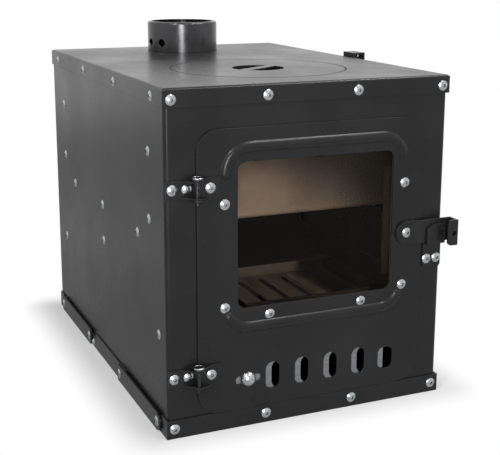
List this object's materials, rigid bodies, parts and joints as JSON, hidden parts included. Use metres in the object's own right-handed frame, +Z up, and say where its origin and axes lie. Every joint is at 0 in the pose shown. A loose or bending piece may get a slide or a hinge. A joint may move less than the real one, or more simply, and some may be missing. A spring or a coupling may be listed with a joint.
{
  "type": "wood cookstove with oven",
  "caption": "Sheet-steel camping wood stove with a glazed fire door, sliding air control, side oven, lift-out hob lid, flue collar and folding legs",
  "frame": {"origin": "middle of the base, on the ground", "axes": "-Y is the side with the fire door, +X is the side with the oven door, +Z is up"},
  "size_m": [0.3056, 0.4254, 0.351],
  "materials": {
    "black_steel": "satin",
    "fire_steel": "matte",
    "zinc": "satin",
    "stove_glass": "gloss",
    "fibre_tape": "matte"
  },
  "bodies": {
    "stove_body": {"base_tray": "black_steel", "body_shell": "black_steel", "back_panel": "black_steel", "cooktop": "black_steel", "lid_seat": "black_steel", "flue_collar": "black_steel", "oven_box": "fire_steel", "floor_pan": "fire_steel", "fire_back": "fire_steel", "side_liners": "fire_steel", "grate": "fire_steel", "front_keeper": "black_steel", "oven_keeper": "black_steel", "hinge_body_leaf_upper": "black_steel", "hinge_body_leaf_lower": "black_steel", "hinge_pin_upper": "zinc", "hinge_pin_lower": "zinc", "oven_hinge_body_leaf_front": "black_steel", "oven_hinge_body_leaf_rear": "black_steel", "oven_hinge_pin_front": "zinc", "oven_hinge_pin_rear": "zinc", "cooktop_rivets": "zinc", "skirt_rivets": "zinc", "side_rivets": "zinc", "fitting_rivets": "zinc", "leg_pivots": "zinc", "leg_stops": "zinc"},
    "fire_door": {"fire_door": "black_steel", "window_tape": "fibre_tape", "window_glass": "stove_glass", "glass_retainers": "black_steel", "slide_guide": "black_steel", "door_rivets": "zinc", "hinge_door_leaf_upper": "black_steel", "hinge_door_leaf_lower": "black_steel", "latch_pivot": "zinc"},
    "latch": {"latch_lever": "black_steel"},
    "air_slide": {"air_slide": "zinc", "air_knob": "zinc"},
    "hob_lid": {"hob_lid": "black_steel", "lid_bar": "black_steel"},
    "oven_door": {"oven_door": "black_steel", "oven_hinge_door_leaf_front": "black_steel", "oven_hinge_door_leaf_rear": "black_steel", "oven_door_rivets": "zinc", "oven_latch_pivot": "zinc"},
    "oven_latch": {"oven_latch_lever": "black_steel"},
    "leg_front_left": {"leg_front_left": "black_steel", "leg_rivet_front_left": "zinc"},
    "leg_front_right": {"leg_front_right": "black_steel", "leg_rivet_front_right": "zinc"},
    "leg_rear_left": {"leg_rear_left": "black_steel", "leg_rivet_rear_left": "zinc"},
    "leg_rear_right": {"leg_rear_right": "black_steel", "leg_rivet_rear_right": "zinc"}
  },
  "joints": [
    {"name": "fire_door_hinge", "type": "hinge", "parent": "stove_body", "child": "fire_door", "pos_m": [-0.114, -0.21, 0.143], "axis": [0, 0, -1], "range_deg": [0, 150]},
    {"name": "latch_turn", "type": "hinge", "parent": "fire_door", "child": "latch", "pos_m": [0.0994, -0.2049, 0.16856], "axis": [0, -1, 0], "range_deg": [0, 80]},
    {"name": "air_slide_travel", "type": "slide", "parent": "fire_door", "child": "air_slide", "axis": [1, 0, 0], "range_m": [-0.0065, 0.0085]},
    {"name": "hob_lid_lift", "type": "slide", "parent": "stove_body", "child": "hob_lid", "axis": [0, 0, 1], "range_m": [0, 0.06]},
    {"name": "oven_door_hinge", "type": "hinge", "parent": "stove_body", "child": "oven_door", "pos_m": [0.149, 0, 0.1825], "axis": [0, 1, 0], "range_deg": [0, 170]},
    {"name": "oven_latch_turn", "type": "hinge", "parent": "oven_door", "child": "oven_latch", "pos_m": [0.1439, 0, 0.273], "axis": [1, 0, 0], "range_deg": [0, 80]},
    {"name": "leg_front_left_fold", "type": "hinge", "parent": "stove_body", "child": "leg_front_left", "pos_m": [-0.1437, -0.1795, 0.009], "axis": [-1, 0, 0], "range_deg": [0, 90]},
    {"name": "leg_front_right_fold", "type": "hinge", "parent": "stove_body", "child": "leg_front_right", "pos_m": [0.1437, -0.1795, 0.009], "axis": [-1, 0, 0], "range_deg": [0, 90]},
    {"name": "leg_rear_left_fold", "type": "hinge", "parent": "stove_body", "child": "leg_rear_left", "pos_m": [-0.1437, 0.1795, 0.009], "axis": [1, 0, 0], "range_deg": [0, 90]},
    {"name": "leg_rear_right_fold", "type": "hinge", "parent": "stove_body", "child": "leg_rear_right", "pos_m": [0.1437, 0.1795, 0.009], "axis": [1, 0, 0], "range_deg": [0, 90]}
  ]
}
